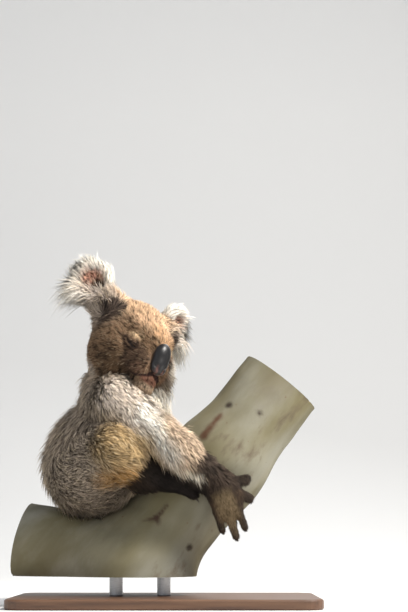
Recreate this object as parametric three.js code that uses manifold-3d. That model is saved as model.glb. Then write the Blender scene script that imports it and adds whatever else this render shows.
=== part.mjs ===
// A life-size koala asleep in the crotch of a gum tree, its right arm hung over the near side of a limb.
// Millimetres, +Z up. +X runs the way the limb rises, -Y is the side of the hanging arm, and z = 0 is the
// floor under the display base. The koala's chest faces +X, turned a little towards -Y.
//
// Each body part is an implicit shape, round cones and eggs blended together, that reaches out to the tips of
// the coat. A part is meshed at its own fineness and cut back to a thin gap from the parts before it.
import * as THREE from "three";
import { mergeVertices } from "three/addons/utils/BufferGeometryUtils.js";
import Module from "manifold-3d";

const wasm = await Module();
wasm.setup();

// ---- driving dimensions -------------------------------------------------------------------------
const GAP = 0.35; // clearance between two solids that meet
const FAIRNESS = 0.12; // how far a facet may leave its shape, as a share of the mesh's step

const BASE = { length: 480, width: 300, height: 16, corner: 26, bevel: 2.5 };
const ROD = { radius: 11, spacing: 76, x: -42, y: 26 };
const PERCH_BOTTOM = 46; // height of the sawn underside of the perch

const TORSO_YAW = THREE.MathUtils.degToRad(25); // the chest faces +X, turned this far towards -Y
const HEAD = {
  centre: [-60, -12, 403],
  yaw: 36, // degrees from -Y towards +X
  pitch: -13,
  roll: 19, // the left ear drops
};

const v = (x, y, z) => new THREE.Vector3(x, y, z);

// ---- joints and other landmarks -----------------------------------------------------------------
const joint = {
  pelvis: v(-118, 28, 222),
  belly: v(-90, 12, 258),
  thorax: v(-62, 4, 320),
  nape: v(-72, 6, 352),
  right: {
    shoulder: v(-79, -66, 320),
    elbow: v(22, -98, 244),
    wrist: v(84, -78, 190),
    hip: v(-122, -20, 206),
    knee: v(-78, -84, 240),
    ankle: v(-34, -60, 206),
    toes: v(46, -67, 193),
  },
  left: {
    shoulder: v(-38, 56, 292),
    elbow: v(16, 118, 236),
    wrist: v(70, 120, 208),
    hip: v(-92, 70, 206),
    knee: v(-58, 118, 240),
    ankle: v(-42, 106, 192),
    toes: v(34, 126, 182),
  },
};

// ---- signed distances ---------------------------------------------------------------------------
// A cone with round ends from a to b.
function cone(a, b, ra, rb) {
  const ab = b.clone().sub(a);
  const length2 = ab.lengthSq();
  return (p) => {
    const x = p.x - a.x;
    const y = p.y - a.y;
    const z = p.z - a.z;
    const t = Math.min(1, Math.max(0, (x * ab.x + y * ab.y + z * ab.z) / length2));
    return Math.hypot(x - t * ab.x, y - t * ab.y, z - t * ab.z) - (ra + t * (rb - ra));
  };
}

// An egg: an ellipsoid at centre with radii along the columns of a frame {x, y, z}.
function egg(centre, radii, frame = WORLD) {
  return (p) => {
    const q = p.clone().sub(centre);
    const a = q.dot(frame.x) / radii[0];
    const b = q.dot(frame.y) / radii[1];
    const c = q.dot(frame.z) / radii[2];
    const k0 = Math.hypot(a, b, c);
    const k1 = Math.hypot(a / radii[0], b / radii[1], c / radii[2]);
    return k1 < 1e-9 ? -Math.min(...radii) : (k0 * (k0 - 1)) / k1;
  };
}

// The union of shapes, rounded over a width of k where they meet.
function blend(k, ...shapes) {
  return (p) =>
    shapes.reduce((d, shape) => {
      const e = shape(p);
      const h = Math.max(k - Math.abs(d - e), 0) / k;
      return Math.min(d, e) - (h * h * k) / 4;
    }, 1e3);
}

const carve = (k, shape, hole) => (p) => -blend(k, (q) => -shape(q), hole)(p);

// ---- frames -------------------------------------------------------------------------------------
const WORLD = { x: v(1, 0, 0), y: v(0, 1, 0), z: v(0, 0, 1) };

// A right-handed frame from its forward direction and a rough up.
function frameOf(forward, up) {
  const x = forward.clone().normalize();
  const y = up.clone().cross(x).normalize();
  return { x, y, z: x.clone().cross(y) };
}

function headFrame() {
  const [yaw, pitch, roll] = [HEAD.yaw, HEAD.pitch, HEAD.roll].map(THREE.MathUtils.degToRad);
  const forward = v(Math.cos(pitch) * Math.sin(yaw), -Math.cos(pitch) * Math.cos(yaw), Math.sin(pitch));
  const level = frameOf(forward, WORLD.z);
  const tilted = level.z.clone().applyAxisAngle(level.x, -roll);
  return frameOf(forward, tilted);
}

const at = (origin, frame, [x, y, z]) =>
  origin.clone().addScaledVector(frame.x, x).addScaledVector(frame.y, y).addScaledVector(frame.z, z);

// ---- head ---------------------------------------------------------------------------------------
const head = headFrame();
const headCentre = v(...HEAD.centre);
const inHead = (...xyz) => at(headCentre, head, xyz);
const SIDES = { right: -1, left: 1 };

const EYE = { radius: 9.5, at: [54, 35, 6.5] };
const NOSE = { at: [93, 0, -1.5], radii: [12.5, 15.5, 27], lean: 9 };
const EAR = { at: [-44, 86, 75], radii: [19, 33.5, 35], turn: 28, tip: 14 };

function headShape() {
  const pairs = Object.values(SIDES).flatMap((s) => [
    egg(inHead(12, s * 36, -14), [48, 37, 46], head), // cheek
    egg(inHead(46, s * 24, 31), [19, 17, 14], head), // brow
    egg(inHead(69, s * 14, -20), [24, 18, 21], head), // upper lip
  ]);
  return blend(
    22,
    egg(inHead(-10, 0, 18), [65, 64, 67], head), // skull
    ...pairs,
    egg(inHead(52, 0, -12), [39, 31, 33], head), // muzzle
    cone(inHead(42, 0, 29), inHead(79, 0, 20), 25, 16), // bridge
    egg(inHead(74, 0, -51), [24, 22, 18], head), // chin
  );
}

// An ear: a thick disc that faces forward and outward, with a hollow in its face.
function earShape(side) {
  const turn = THREE.MathUtils.degToRad(EAR.turn) * side;
  const facing = head.x.clone().applyAxisAngle(head.z, turn);
  const up = head.z.clone().applyAxisAngle(facing, THREE.MathUtils.degToRad(-EAR.tip) * side);
  const frame = frameOf(facing, up);
  const centre = inHead(EAR.at[0], side * EAR.at[1], EAR.at[2]);
  const disc = egg(centre, EAR.radii, frame);
  const root = cone(inHead(-20, side * 44, 44), centre, 32, 22);
  const hollow = egg(at(centre, frame, [20, 0, 2]), [17, 24, 24], frame);
  return carve(8, blend(14, disc, root), hollow);
}

// ---- paws ---------------------------------------------------------------------------------------
// Each digit starts at a place in the paw's frame (x to the toes, y to the thumb's side, z out of the
// back of the paw) and points along a direction in it. Its claw dips below that by some degrees.
const HAND_DIGITS = [
  { name: "1", from: [4, 12, -6], along: [0.14, 0.97, -0.2], length: 29, radius: 11, dip: 24 },
  { name: "2", from: [16, 16, -5], along: [0.72, 0.66, -0.2], length: 30, radius: 10.5, dip: 24 },
  { name: "3", from: [44, 15, 0], along: [0.98, 0.04, -0.2], length: 35, radius: 8.2, dip: 6 },
  { name: "4", from: [48, -1, 1], along: [1, 0, -0.15], length: 40, radius: 8.8, dip: 6 },
  { name: "5", from: [42, -17, 0], along: [0.98, -0.05, -0.2], length: 31, radius: 8, dip: 6 },
];
const FOOT_DIGITS = [
  { name: "1", from: [24, 20, -6], along: [0.35, 0.9, -0.35], length: 24, radius: 10.5, clawless: true },
  { name: "2", from: [62, 12, -2], along: [0.94, 0.28, -0.25], length: 18, radius: 8, dip: 0 },
  { name: "4", from: [66, -1, 0], along: [0.98, 0.0, -0.25], length: 24, radius: 9.5, dip: 0 },
  { name: "5", from: [60, -15, -1], along: [0.93, -0.28, -0.25], length: 22, radius: 9, dip: 0 },
];
const CLAW = { length: 25, root: 4.2, bend: 62 };

function paw(origin, toward, back, side, digits, body) {
  const frame = frameOf(toward, back);
  // y must point to the thumb's side, which is the left of a right paw seen from its back
  if (side < 0) frame.thumb = frame.y.clone();
  else frame.thumb = frame.y.clone().negate();
  const axes = { x: frame.x, y: frame.thumb, z: frame.z };
  const made = digits.map((digit) => {
    const start = at(origin, axes, digit.from);
    const along = at(v(0, 0, 0), axes, digit.along).normalize();
    const end = start.clone().addScaledVector(along, digit.length);
    return { ...digit, start, end, along, down: axes.z.clone().negate() };
  });
  const palm = body(origin, axes);
  const fingers = made.map((d) => cone(d.start, d.end, d.radius, d.radius * 0.86));
  return { axes, digits: made, shape: blend(9, palm, ...fingers) };
}

const handBody = (origin, axes) =>
  blend(
    14,
    cone(at(origin, axes, [2, 0, 0]), at(origin, axes, [20, 2, 0]), 20, 20),
    egg(at(origin, axes, [28, 2, 0]), [31, 27, 16], axes),
  );
const footBody = (origin, axes) =>
  blend(
    14,
    cone(at(origin, axes, [2, 0, 0]), at(origin, axes, [34, 0, 0]), 22, 20),
    egg(at(origin, axes, [44, 0, 0]), [36, 25, 17], axes),
  );

const hands = {
  right: paw(joint.right.wrist, v(0.3, 0.22, -0.93), v(-0.1, -1, 0), SIDES.right, HAND_DIGITS, handBody),
  left: paw(joint.left.wrist, v(0.45, -0.1, -0.85), v(0.1, 1, 0), SIDES.left, HAND_DIGITS, handBody),
};
const feet = {
  right: paw(joint.right.ankle, joint.right.toes.clone().sub(joint.right.ankle), v(-0.25, -0.85, 0.45),
    SIDES.right, FOOT_DIGITS, footBody),
  left: paw(joint.left.ankle, joint.left.toes.clone().sub(joint.left.ankle), v(-0.3, 0.8, 0.55),
    SIDES.left, FOOT_DIGITS, footBody),
};

// ---- limbs and trunk ----------------------------------------------------------------------------
const LIMB = {
  upper_arm: { from: "shoulder", to: "elbow", radii: [44, 30] },
  forearm: { from: "elbow", to: "wrist", radii: [28, 22] },
  thigh: { from: "hip", to: "knee", radii: [60, 44] },
  shin: { from: "knee", to: "ankle", radii: [40, 30] },
};

function trunkShape() {
  const f = v(Math.cos(TORSO_YAW), -Math.sin(TORSO_YAW), 0);
  const torso = frameOf(f, WORLD.z);
  return blend(
    46,
    egg(joint.pelvis, [80, 84, 80], torso),
    egg(joint.belly, [82, 86, 76], torso),
    egg(joint.thorax, [66, 72, 66], torso),
  );
}

const neckShape = () => cone(joint.nape, headCentre.clone().lerp(joint.nape, 0.4), 64, 52);

// ---- perch --------------------------------------------------------------------------------------
const LIMB_END = { rising: 186, level: -232 }; // x of the sawn ends, at their middles
const stemFoot = v(-44, 24, 10);
const perchAxis = [v(-50, 24, 60), v(80, 24, 222), v(250, 28, 436)];
const stubEnd = v(-270, 52, 112);

function perchShape() {
  return blend(
    44,
    cone(perchAxis[0], perchAxis[1], 76, 70),
    cone(perchAxis[1], perchAxis[2], 70, 68),
    cone(perchAxis[0], stubEnd, 70, 58),
    cone(stemFoot, perchAxis[0], 86, 78),
  );
}

// ---- meshing ------------------------------------------------------------------------------------
// Surface nets: one vertex in each cell that the surface crosses, then moved onto the surface.
function net(shape, box, step) {
  const size = box.getSize(v(0, 0, 0));
  const n = [size.x, size.y, size.z].map((s) => Math.ceil(s / step) + 1);
  const point = (i, j, k) => v(box.min.x + i * step, box.min.y + j * step, box.min.z + k * step);
  const gridIndex = (i, j, k) => i + n[0] * (j + n[1] * k);
  const value = new Float64Array(n[0] * n[1] * n[2]);
  for (let k = 0; k < n[2]; k++)
    for (let j = 0; j < n[1]; j++)
      for (let i = 0; i < n[0]; i++) {
        const edge = i === 0 || j === 0 || k === 0 || i === n[0] - 1 || j === n[1] - 1 || k === n[2] - 1;
        value[gridIndex(i, j, k)] = edge ? Math.max(step, shape(point(i, j, k))) : shape(point(i, j, k));
      }
  const CORNERS = [...Array(8).keys()].map((c) => [c & 1, (c >> 1) & 1, (c >> 2) & 1]);
  const positions = [];
  const cellVertex = new Map();
  for (let k = 0; k < n[2] - 1; k++)
    for (let j = 0; j < n[1] - 1; j++)
      for (let i = 0; i < n[0] - 1; i++) {
        const d = CORNERS.map(([a, b, c]) => value[gridIndex(i + a, j + b, k + c)]);
        if (d.every((x) => x < 0) || d.every((x) => x >= 0)) continue;
        const sum = v(0, 0, 0);
        let count = 0;
        for (let a = 0; a < 8; a++)
          for (const bit of [1, 2, 4]) {
            const b = a | bit;
            if (a === b || d[a] < 0 === d[b] < 0) continue;
            const t = d[a] / (d[a] - d[b]);
            const [pa, pb] = [CORNERS[a], CORNERS[b]].map((c) => point(i + c[0], j + c[1], k + c[2]));
            sum.add(pa.lerp(pb, t));
            count++;
          }
        cellVertex.set(gridIndex(i, j, k), positions.length);
        positions.push(settle(shape, sum.divideScalar(count), step * 0.4));
      }
  return joinCells(n, gridIndex, value, cellVertex, positions);
}

// Moves a point down the field's slope onto its surface, by no more than limit.
function settle(shape, p, limit) {
  const start = p.clone();
  const h = 0.2;
  for (let turn = 0; turn < 3; turn++) {
    const d = shape(p);
    const slope = v(
      shape(p.clone().add(v(h, 0, 0))) - shape(p.clone().sub(v(h, 0, 0))),
      shape(p.clone().add(v(0, h, 0))) - shape(p.clone().sub(v(0, h, 0))),
      shape(p.clone().add(v(0, 0, h))) - shape(p.clone().sub(v(0, 0, h))),
    ).divideScalar(2 * h);
    p.addScaledVector(slope, -d / Math.max(slope.lengthSq(), 0.2));
  }
  const moved = p.sub(start);
  return start.add(moved.clampLength(0, limit));
}

// Two triangles for each grid edge that the surface crosses, facing out.
function joinCells(n, gridIndex, value, cellVertex, positions) {
  const index = [];
  const around = [
    [[0, 1, 0], [0, 0, 1]],
    [[0, 0, 1], [1, 0, 0]],
    [[1, 0, 0], [0, 1, 0]],
  ];
  for (let k = 1; k < n[2] - 1; k++)
    for (let j = 1; j < n[1] - 1; j++)
      for (let i = 1; i < n[0] - 1; i++)
        for (let axis = 0; axis < 3; axis++) {
          const inside = value[gridIndex(i, j, k)] < 0;
          const next = [i, j, k];
          next[axis]++;
          if (inside === value[gridIndex(...next)] < 0) continue;
          const [u, w] = around[axis];
          const cell = (a, b) => {
            const [ci, cj, ck] = [i, j, k].map((o, d) => o - a * u[d] - b * w[d]);
            return cellVertex.get(gridIndex(ci, cj, ck));
          };
          const quad = [cell(1, 1), cell(0, 1), cell(0, 0), cell(1, 0)];
          const [a, b, c, d] = inside ? quad : quad.reverse();
          const shortAC = positions[a].distanceTo(positions[c]) < positions[b].distanceTo(positions[d]);
          index.push(...(shortAC ? [a, b, c, a, c, d] : [a, b, d, b, c, d]));
        }
  const geometry = new THREE.BufferGeometry().setFromPoints(positions);
  return geometry.setIndex(index);
}

// ---- solids -------------------------------------------------------------------------------------
function welded(geometry) {
  const bare = geometry.index ? geometry.toNonIndexed() : geometry;
  const corners = new THREE.BufferGeometry().setAttribute("position", bare.getAttribute("position"));
  return mergeVertices(corners, 1e-3);
}

function solidOf(geometry) {
  const closed = welded(geometry);
  return new wasm.Manifold(
    new wasm.Mesh({
      numProp: 3,
      vertProperties: closed.attributes.position.array,
      triVerts: new Uint32Array(closed.index.array),
    }),
  );
}

function geometryOf(solid) {
  const { vertProperties, triVerts } = solid.getMesh();
  const geometry = new THREE.BufferGeometry();
  geometry.setAttribute("position", new THREE.BufferAttribute(new Float32Array(vertProperties), 3));
  return geometry.setIndex(new THREE.BufferAttribute(new Uint32Array(triVerts), 1));
}

const largest = (solid) => solid.decompose().reduce((a, b) => (b.volume() > a.volume() ? b : a));

// A big block that fills the space beyond a plane.
function blockBeyond(point, out) {
  const side = 900;
  const block = new THREE.BoxGeometry(side, side, side).translate(0, 0, side / 2);
  const turn = new THREE.Quaternion().setFromUnitVectors(WORLD.z, out);
  return solidOf(block.applyQuaternion(turn).translate(point.x, point.y, point.z));
}

// The same mesh with every corner moved out along its normal.
function swollen(geometry, by) {
  const out = welded(geometry);
  out.computeVertexNormals();
  const [position, normal] = [out.attributes.position, out.attributes.normal];
  for (let i = 0; i < position.count; i++) {
    const n = v(0, 0, 0).fromBufferAttribute(normal, i);
    const p = v(0, 0, 0).fromBufferAttribute(position, i).addScaledVector(n, by);
    position.setXYZ(i, p.x, p.y, p.z);
  }
  return out;
}

// ---- materials ----------------------------------------------------------------------------------
const finish = (color, roughness, metalness = 0) =>
  new THREE.MeshStandardMaterial({ color, roughness, metalness, flatShading: true });

const FUR_GREY = finish(0x8f7d6c, 0.95);
const FUR_TAN = finish(0xa98a66, 0.95);
const FUR_DARK = finish(0x5a4c42, 0.95);
const FUR_WHITE = finish(0xd9cdbd, 0.95);
const LEATHER = finish(0x2a2422, 0.55);
const LID = finish(0x4a3c33, 0.7);
const HORN = finish(0x2b2623, 0.4);
const BARK = finish(0xb9ab97, 0.85);
const WOOD = finish(0x6b4a30, 0.5);
const STEEL = finish(0x9a9da0, 0.35, 1);

// ---- assembly -----------------------------------------------------------------------------------
const koala = new THREE.Group();
koala.name = "koala";
const clearances = []; // the swollen parts so far, which later parts are cut back to

function add(name, solid, material) {
  const node = new THREE.Mesh(geometryOf(solid), material);
  node.name = name;
  koala.add(node);
}

// Adds a closed geometry as a named part, less a thin clearance around every part before it.
function addPart(name, geometry, material, trims = []) {
  let solid = solidOf(geometry);
  let clearance = solidOf(swollen(geometry, GAP)).add(solid);
  const box = new THREE.Box3().setFromBufferAttribute(geometry.attributes.position);
  for (const other of clearances) {
    if (other.box.intersectsBox(box)) solid = solid.subtract(other.solid);
  }
  for (const trim of trims) {
    solid = solid.subtract(trim(0));
    clearance = clearance.subtract(trim(GAP));
  }
  solid = largest(solid);
  clearances.push({ solid: clearance, box: box.clone().expandByScalar(GAP) });
  add(name, solid, material);
}

// A closed mesh of a shape: the first grid, from the given step to finer ones, that pinches nowhere.
function closedNet(shape, box, step) {
  for (let fineness = 1; fineness > 0.5; fineness -= 0.03) {
    const geometry = net(shape, box, step * fineness);
    if (isClosed(geometry)) return geometry;
  }
  throw new Error("a shape pinches at every grid");
}

// True where every edge belongs to just two triangles.
function isClosed(geometry) {
  const index = geometry.index.array;
  const edges = new Set();
  for (let i = 0; i < index.length; i += 3)
    for (let e = 0; e < 3; e++) edges.add(`${index[i + e]},${index[i + ((e + 1) % 3)]}`);
  const paired = [...edges].every((edge) => edges.has(edge.split(",").reverse().join(",")));
  return paired && edges.size === index.length;
}

// A body part from its implicit shape; the points and reach bound it.
function addFlesh(name, shape, points, reach, step, material, trims) {
  const box = new THREE.Box3().setFromPoints(points).expandByScalar(reach);
  const fair = solidOf(closedNet(shape, box, step)).simplify(step * FAIRNESS);
  addPart(name, geometryOf(fair), material, trims);
}

// The perch, sawn flat underneath and square across at both ends.
function addPerch() {
  const rise = perchAxis[2].clone().sub(perchAxis[1]).normalize();
  const run = stubEnd.clone().sub(perchAxis[0]).normalize();
  const risingEnd = perchAxis[1].clone().addScaledVector(rise, (LIMB_END.rising - perchAxis[1].x) / rise.x);
  const levelEnd = perchAxis[0].clone().addScaledVector(run, (LIMB_END.level - perchAxis[0].x) / run.x);
  const cuts = [
    [v(0, 0, PERCH_BOTTOM), v(0, 0, -1)],
    [risingEnd, rise],
    [levelEnd, run],
  ];
  const trims = cuts.map(([p, out]) => (by) => blockBeyond(p.clone().addScaledVector(out, by), out));
  addFlesh("perch", perchShape(), [stemFoot, ...perchAxis, stubEnd], 130, 33, BARK, trims);
}

// A claw: a horn that curves down and tapers, rooted in the tip of a digit.
function clawGeometry(digit) {
  const dip = THREE.MathUtils.degToRad(digit.dip);
  const start = digit.along.clone().multiplyScalar(Math.cos(dip)).addScaledVector(digit.down, Math.sin(dip));
  const frame = frameOf(start, digit.down.clone().negate());
  const [steps, sides] = [4, 5];
  const bend = THREE.MathUtils.degToRad(CLAW.bend);
  const radius = CLAW.length / bend;
  const root = digit.end.clone().addScaledVector(digit.along, -2);
  const points = [];
  for (let s = 0; s <= steps; s++) {
    const angle = (bend * s) / steps;
    const centre = at(root, frame, [radius * Math.sin(angle), 0, radius * (Math.cos(angle) - 1) + 1.5]);
    const r = CLAW.root * (1 - 0.86 * Math.pow(s / steps, 1.4));
    const outward = at(v(0, 0, 0), frame, [Math.sin(angle), 0, Math.cos(angle)]);
    for (let i = 0; i < sides; i++) {
      const turn = (2 * Math.PI * i) / sides;
      const point = centre.clone().addScaledVector(frame.y, 0.72 * r * Math.cos(turn));
      points.push(point.addScaledVector(outward, r * Math.sin(turn)));
    }
  }
  const index = [];
  for (let s = 0; s < steps; s++)
    for (let i = 0; i < sides; i++) {
      const [a, b] = [s * sides + i, s * sides + ((i + 1) % sides)];
      index.push(a, b, b + sides, a, b + sides, a + sides);
    }
  const last = steps * sides;
  for (let i = 1; i < sides - 1; i++) index.push(0, i + 1, i, last, last + i, last + i + 1);
  return new THREE.BufferGeometry().setFromPoints(points).setIndex(index);
}

// The display base: a board with rounded corners and a small bevel all round.
function baseGeometry() {
  const { length, width, height, corner, bevel } = BASE;
  const [x, y] = [length / 2 - bevel, width / 2 - bevel];
  const outline = new THREE.Shape()
    .moveTo(-x + corner, -y)
    .lineTo(x - corner, -y)
    .absarc(x - corner, -y + corner, corner, -Math.PI / 2, 0)
    .lineTo(x, y - corner)
    .absarc(x - corner, y - corner, corner, 0, Math.PI / 2)
    .lineTo(-x + corner, y)
    .absarc(-x + corner, y - corner, corner, Math.PI / 2, Math.PI)
    .lineTo(-x, -y + corner)
    .absarc(-x + corner, -y + corner, corner, Math.PI, 1.5 * Math.PI);
  return new THREE.ExtrudeGeometry(outline, {
    depth: height - 2 * bevel,
    bevelThickness: bevel,
    bevelSize: bevel,
    bevelSegments: 1,
    curveSegments: 3,
  }).translate(0, 0, bevel);
}

function addStand() {
  add("stand_base", solidOf(baseGeometry()), WOOD);
  const height = PERCH_BOTTOM - BASE.height - 2 * GAP;
  [-0.5, 0.5].forEach((offset, i) => {
    const rod = new THREE.CylinderGeometry(ROD.radius, ROD.radius, height, 16)
      .rotateX(Math.PI / 2)
      .translate(ROD.x + offset * ROD.spacing, ROD.y, BASE.height + GAP + height / 2);
    add(`stand_rod_${i + 1}`, solidOf(rod), STEEL);
  });
}

function addHead() {
  for (const [side, s] of Object.entries(SIDES)) {
    const [x, y, z] = EYE.at;
    const ball = new THREE.IcosahedronGeometry(EYE.radius, 1);
    const centre = inHead(x, s * y, z);
    addPart(`eye_${side}`, ball.translate(centre.x, centre.y, centre.z), LID);
  }
  const lean = head.z.clone().applyAxisAngle(head.y, THREE.MathUtils.degToRad(-NOSE.lean));
  const nose = egg(inHead(...NOSE.at), NOSE.radii, frameOf(head.y.clone().cross(lean), lean));
  addFlesh("nose", nose, [inHead(...NOSE.at)], 34, 7, LEATHER);
  addFlesh("head", headShape(), [headCentre], 130, 16, FUR_TAN);
  for (const [side, s] of Object.entries(SIDES)) {
    const [x, y, z] = EAR.at;
    addFlesh(`ear_${side}`, earShape(s), [inHead(x, s * y, z)], 100, 13, FUR_WHITE);
  }
}

function addLimb(side, segment, material) {
  const { from, to, radii } = LIMB[segment];
  const [a, b] = [joint[side][from], joint[side][to]];
  addFlesh(`${segment}_${side}`, cone(a, b, ...radii), [a, b], Math.max(...radii) + 28, 21, material);
}

function addPaw(name, side, made, material) {
  const points = made.digits.flatMap((digit) => [digit.start, digit.end]);
  const wrist = name === "hand" ? joint[side].wrist : joint[side].ankle;
  addFlesh(`${name}_${side}`, made.shape, [wrist, ...points], 40, 11.5, material);
  for (const digit of made.digits.filter((d) => !d.clawless))
    addPart(`claw_${name}_${side}_${digit.name}`, clawGeometry(digit), HORN);
}

addPerch();
addStand();
addHead();
addFlesh("trunk", trunkShape(), [joint.pelvis, joint.belly, joint.thorax, joint.nape], 120, 29, FUR_GREY);
addFlesh("neck", neckShape(), [joint.nape, headCentre], 90, 22, FUR_GREY);
for (const side of Object.keys(SIDES)) {
  addLimb(side, "upper_arm", FUR_GREY);
  addLimb(side, "forearm", FUR_TAN);
  addLimb(side, "thigh", FUR_GREY);
  addLimb(side, "shin", FUR_GREY);
  addPaw("hand", side, hands[side], FUR_DARK);
  addPaw("foot", side, feet[side], FUR_DARK);
}

export default koala;
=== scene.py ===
import math

import bpy
import numpy as np
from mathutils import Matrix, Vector


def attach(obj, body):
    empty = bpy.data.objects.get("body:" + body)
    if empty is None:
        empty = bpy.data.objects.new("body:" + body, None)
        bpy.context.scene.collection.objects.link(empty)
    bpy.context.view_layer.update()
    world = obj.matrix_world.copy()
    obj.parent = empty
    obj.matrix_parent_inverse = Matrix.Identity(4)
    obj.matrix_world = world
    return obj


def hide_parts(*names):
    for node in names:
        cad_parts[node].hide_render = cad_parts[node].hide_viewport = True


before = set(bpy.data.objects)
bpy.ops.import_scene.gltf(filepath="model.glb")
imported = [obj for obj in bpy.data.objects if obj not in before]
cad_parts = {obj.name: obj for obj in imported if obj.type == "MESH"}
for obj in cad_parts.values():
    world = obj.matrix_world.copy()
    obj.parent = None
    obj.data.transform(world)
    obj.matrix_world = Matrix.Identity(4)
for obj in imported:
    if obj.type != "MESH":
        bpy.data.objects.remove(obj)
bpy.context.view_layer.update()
SEED = 11
rng = np.random.default_rng(SEED)
MM = 0.001


def vec(*xyz):
    return np.array(xyz, dtype=np.float64)


def unit(a):
    return a / np.maximum(np.linalg.norm(a, axis=-1, keepdims=True), 1e-9)


def clamp(a):
    return np.clip(a, 0, 1)


def lerp(a, b, t):
    return a * (1 - t) + b * t


def column(a):
    return a[:, None]


# ---- the skeleton: the same landmarks as the solids, in mm ----
PELVIS, BELLY, THORAX, NAPE = vec(-118, 28, 222), vec(-90, 12, 258), vec(-62, 4, 320), vec(-72, 6, 352)
RIGHT = dict(
    shoulder=vec(-79, -66, 320),
    elbow=vec(22, -98, 244),
    wrist=vec(84, -78, 190),
    hip=vec(-122, -20, 206),
    knee=vec(-78, -84, 240),
    ankle=vec(-34, -60, 206),
    toes=vec(46, -67, 193),
)
LEFT = dict(
    shoulder=vec(-38, 56, 292),
    elbow=vec(16, 118, 236),
    wrist=vec(70, 120, 208),
    hip=vec(-92, 70, 206),
    knee=vec(-58, 118, 240),
    ankle=vec(-42, 106, 192),
    toes=vec(34, 126, 182),
)
JOINTS = {"right": RIGHT, "left": LEFT}
SIDES = {"right": -1, "left": 1}
TORSO_YAW = math.radians(25)
HEAD_AT, HEAD_YAW, HEAD_PITCH, HEAD_ROLL = vec(-60, -12, 403), 36, -13, 19
WORLD = np.eye(3)
UP = WORLD[2]


def frame_of(forward, up):
    x = unit(forward)
    y = unit(np.cross(up, x))
    return np.array([x, y, np.cross(x, y)])


def turned(a, axis, degrees):
    """a turned about a unit axis."""
    c, s = math.cos(math.radians(degrees)), math.sin(math.radians(degrees))
    return a * c + np.cross(axis, a) * s + axis * (axis @ a) * (1 - c)


def head_frame():
    yaw, pitch = math.radians(HEAD_YAW), math.radians(HEAD_PITCH)
    forward = vec(math.cos(pitch) * math.sin(yaw), -math.cos(pitch) * math.cos(yaw), math.sin(pitch))
    level = frame_of(forward, UP)
    return frame_of(forward, turned(level[2], level[0], -HEAD_ROLL))


HEAD = head_frame()


def place(origin, axes, xyz):
    return origin + np.asarray(xyz, dtype=float) @ axes


def in_head(*xyz):
    return place(HEAD_AT, HEAD, xyz)


TORSO = frame_of(vec(math.cos(TORSO_YAW), -math.sin(TORSO_YAW), 0), UP)


# ---- signed distances over arrays of points ----
def cone(a, b, ra, rb):
    ab = b - a

    def shape(p):
        q = p - a
        t = clamp(q @ ab / (ab @ ab))
        return np.linalg.norm(q - t[:, None] * ab, axis=1) - (ra + t * (rb - ra))

    return shape


def egg(centre, radii, axes=WORLD):
    radii = np.asarray(radii, dtype=float)

    def shape(p):
        q = (p - centre) @ axes.T / radii
        k0 = np.linalg.norm(q, axis=1)
        k1 = np.linalg.norm(q / radii, axis=1)
        return k0 * (k0 - 1) / np.maximum(k1, 1e-9)

    return shape


def smooth_min(a, b, k):
    h = np.maximum(k - np.abs(a - b), 0) / k
    return np.minimum(a, b) - h * h * k / 4


def blend(k, *shapes):
    def shape(p):
        d = shapes[0](p)
        for other in shapes[1:]:
            d = smooth_min(d, other(p), k)
        return d

    return shape


def carved(d, hole, k):
    return -smooth_min(-d, hole, k)


def head_egg(x, y, z, radii):
    return egg(in_head(x, y, z), radii, HEAD)


# ---- body parts ----
def head_shape():
    pairs = []
    for s in SIDES.values():
        pairs += [
            head_egg(12, s * 36, -14, [48, 37, 46]),
            head_egg(46, s * 24, 31, [19, 17, 14]),
            head_egg(69, s * 14, -20, [24, 18, 21]),
        ]
    return blend(
        22,
        head_egg(-10, 0, 18, [65, 64, 67]),
        *pairs,
        head_egg(52, 0, -12, [39, 31, 33]),
        cone(in_head(42, 0, 29), in_head(79, 0, 20), 25, 16),
        head_egg(74, 0, -51, [24, 22, 18]),
    )


EAR_AT, EAR_RADII, EAR_TURN, EAR_TIP = (-44, 86, 75), (19, 33.5, 35), 28, 14


def ear_frame(side):
    forward = turned(HEAD[0], HEAD[2], EAR_TURN * side)
    up = turned(HEAD[2], forward, -EAR_TIP * side)
    return in_head(EAR_AT[0], side * EAR_AT[1], EAR_AT[2]), frame_of(forward, up)


def ear_egg(side, x, y, z, radii):
    centre, axes = ear_frame(side)
    return egg(place(centre, axes, [x, y, z]), radii, axes)


def ear_stalk(side):
    return in_head(-20, side * 44, 44)


def ear_shape(side):
    disc = ear_egg(side, 0, 0, 0, EAR_RADII)
    ear = blend(14, disc, cone(ear_stalk(side), ear_frame(side)[0], 32, 22))
    hollow = ear_egg(side, 20, 0, 2, [17, 24, 24])
    return lambda p: carved(ear(p), hollow(p), 8)


HAND_DIGITS = {
    "1": ([4, 12, -6], [0.14, 0.97, -0.2], 29, 11),
    "2": ([16, 16, -5], [0.72, 0.66, -0.2], 30, 10.5),
    "3": ([44, 15, 0], [0.98, 0.04, -0.2], 35, 8.2),
    "4": ([48, -1, 1], [1, 0, -0.15], 40, 8.8),
    "5": ([42, -17, 0], [0.98, -0.05, -0.2], 31, 8),
}
FOOT_DIGITS = {
    "1": ([24, 20, -6], [0.35, 0.9, -0.35], 24, 10.5),
    "2": ([62, 12, -2], [0.94, 0.28, -0.25], 18, 8),
    "4": ([66, -1, 0], [0.98, 0, -0.25], 24, 9.5),
    "5": ([60, -15, -1], [0.93, -0.28, -0.25], 22, 9),
}


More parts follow.
